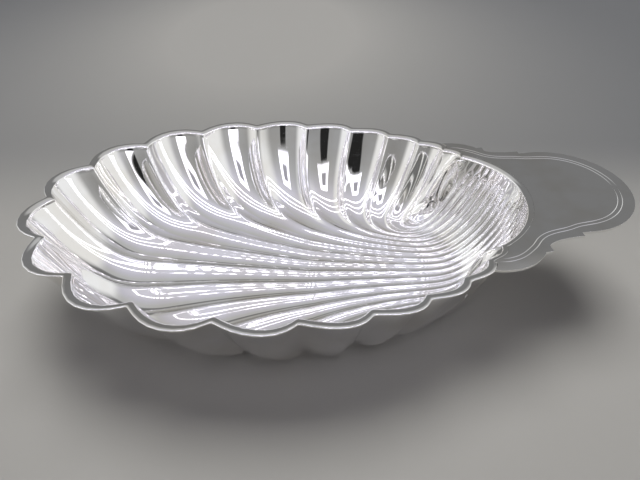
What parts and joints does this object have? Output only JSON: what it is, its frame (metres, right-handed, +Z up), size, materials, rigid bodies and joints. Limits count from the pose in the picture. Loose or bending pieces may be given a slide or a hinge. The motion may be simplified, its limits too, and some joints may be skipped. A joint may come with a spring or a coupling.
{
  "type": "shell dish",
  "caption": "Oval silver serving dish in the form of a fluted scallop shell, with a scalloped rim and a flat shaped handle plate at one end.",
  "frame": {"origin": "on the surface that the dish stands on, under the middle of its length and width", "axes": "+X from the front of the shell to the handle plate, +Y across the dish to its far side in the picture, +Z up"},
  "size_m": [0.2974, 0.1794, 0.0606],
  "materials": {
    "bowl_silver": "polished silver",
    "plate_silver": "polished silver"
  },
  "bodies": {
    "root": {"shell_bowl": "bowl_silver", "handle_plate": "plate_silver"}
  },
  "joints": []
}
